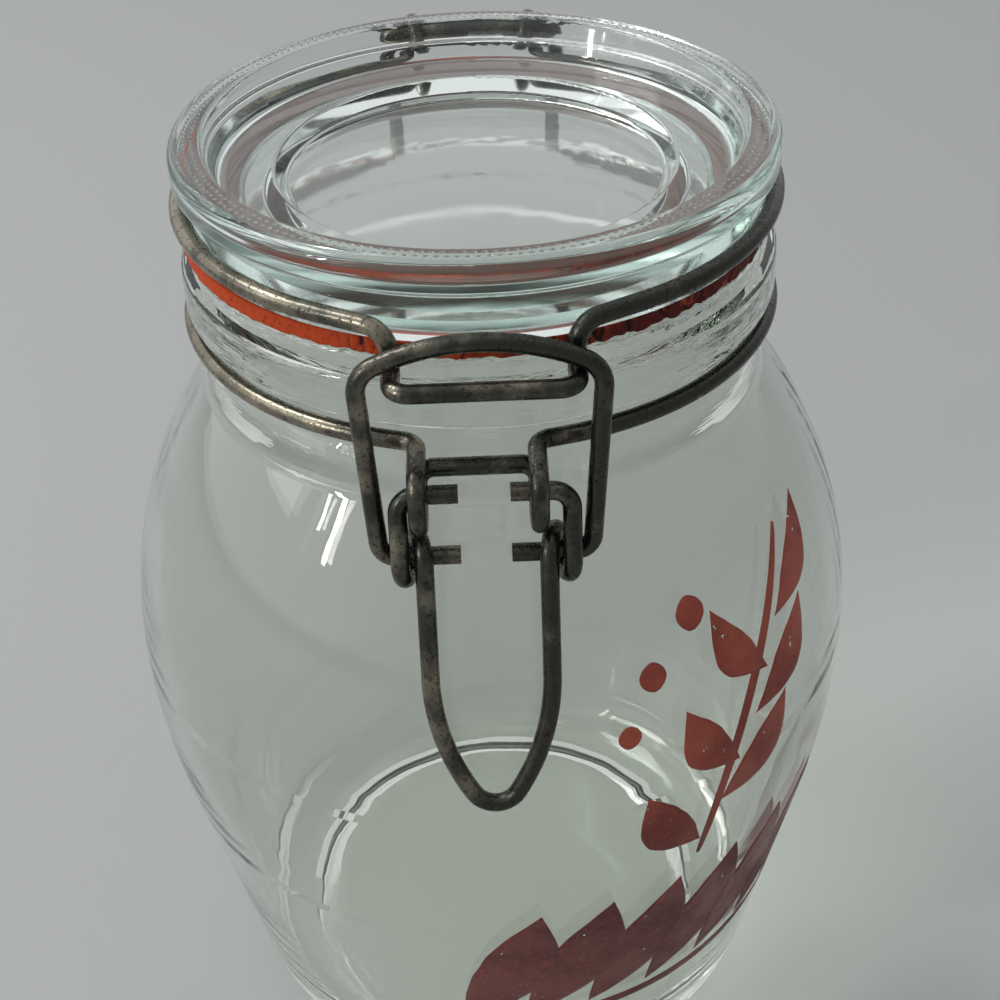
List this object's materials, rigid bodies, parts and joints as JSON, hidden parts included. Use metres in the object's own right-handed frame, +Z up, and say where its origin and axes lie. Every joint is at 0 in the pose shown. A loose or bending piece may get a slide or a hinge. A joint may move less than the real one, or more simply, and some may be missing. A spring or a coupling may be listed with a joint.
{
  "type": "clip-top storage jar",
  "caption": "Empty round glass storage jar with a glass lid, a rubber sealing ring and a hinged wire latch that clamps the lid shut.",
  "frame": {"origin": "on the jar's axis, in the plane of the ring that it stands on", "axes": "+Z up along the jar's axis, -Y towards the latch, +Y towards the hinge, X across"},
  "size_m": [0.1368, 0.1402, 0.186],
  "materials": {
    "clear_glass": "clear pressed glass with a faint grey-green tint and a fired red pattern on one side",
    "lid_clear_glass": "clear pressed glass with a faint grey-green tint and two rows of small raised dots round the rim",
    "orange_rubber": "aged orange-red rubber, dry and speckled with fine cracks",
    "tarnished_steel": "drawn steel wire gone dull and brown with age, with traces of rust"
  },
  "bodies": {
    "jar": {"jar_glass": "clear_glass", "neck_wire": "tarnished_steel"},
    "lid": {"lid_glass": "lid_clear_glass", "gasket": "orange_rubber", "lid_wire": "tarnished_steel"},
    "lever": {"lever_wire": "tarnished_steel"},
    "bail": {"bail_wire": "tarnished_steel"}
  },
  "joints": [
    {"name": "lid_hinge", "type": "hinge", "parent": "jar", "child": "lid", "pos_m": [0, 0.0562, 0.1785], "axis": [-1, 0, 0], "range_deg": [0, 225]},
    {"name": "lever_pivot", "type": "hinge", "parent": "jar", "child": "lever", "pos_m": [-0.0007, -0.05794, 0.1506], "axis": [-1, 0, 0], "range_deg": [0, 150]},
    {"name": "bail_pivot", "type": "hinge", "parent": "lever", "child": "bail", "pos_m": [-0.0007, -0.05729, 0.13852], "axis": [-1, 0, 0], "range_deg": [-150, 0]}
  ],
  "couplings": [
    {"joint": "bail_pivot", "follows": "lever_pivot", "ratio": -1}
  ]
}
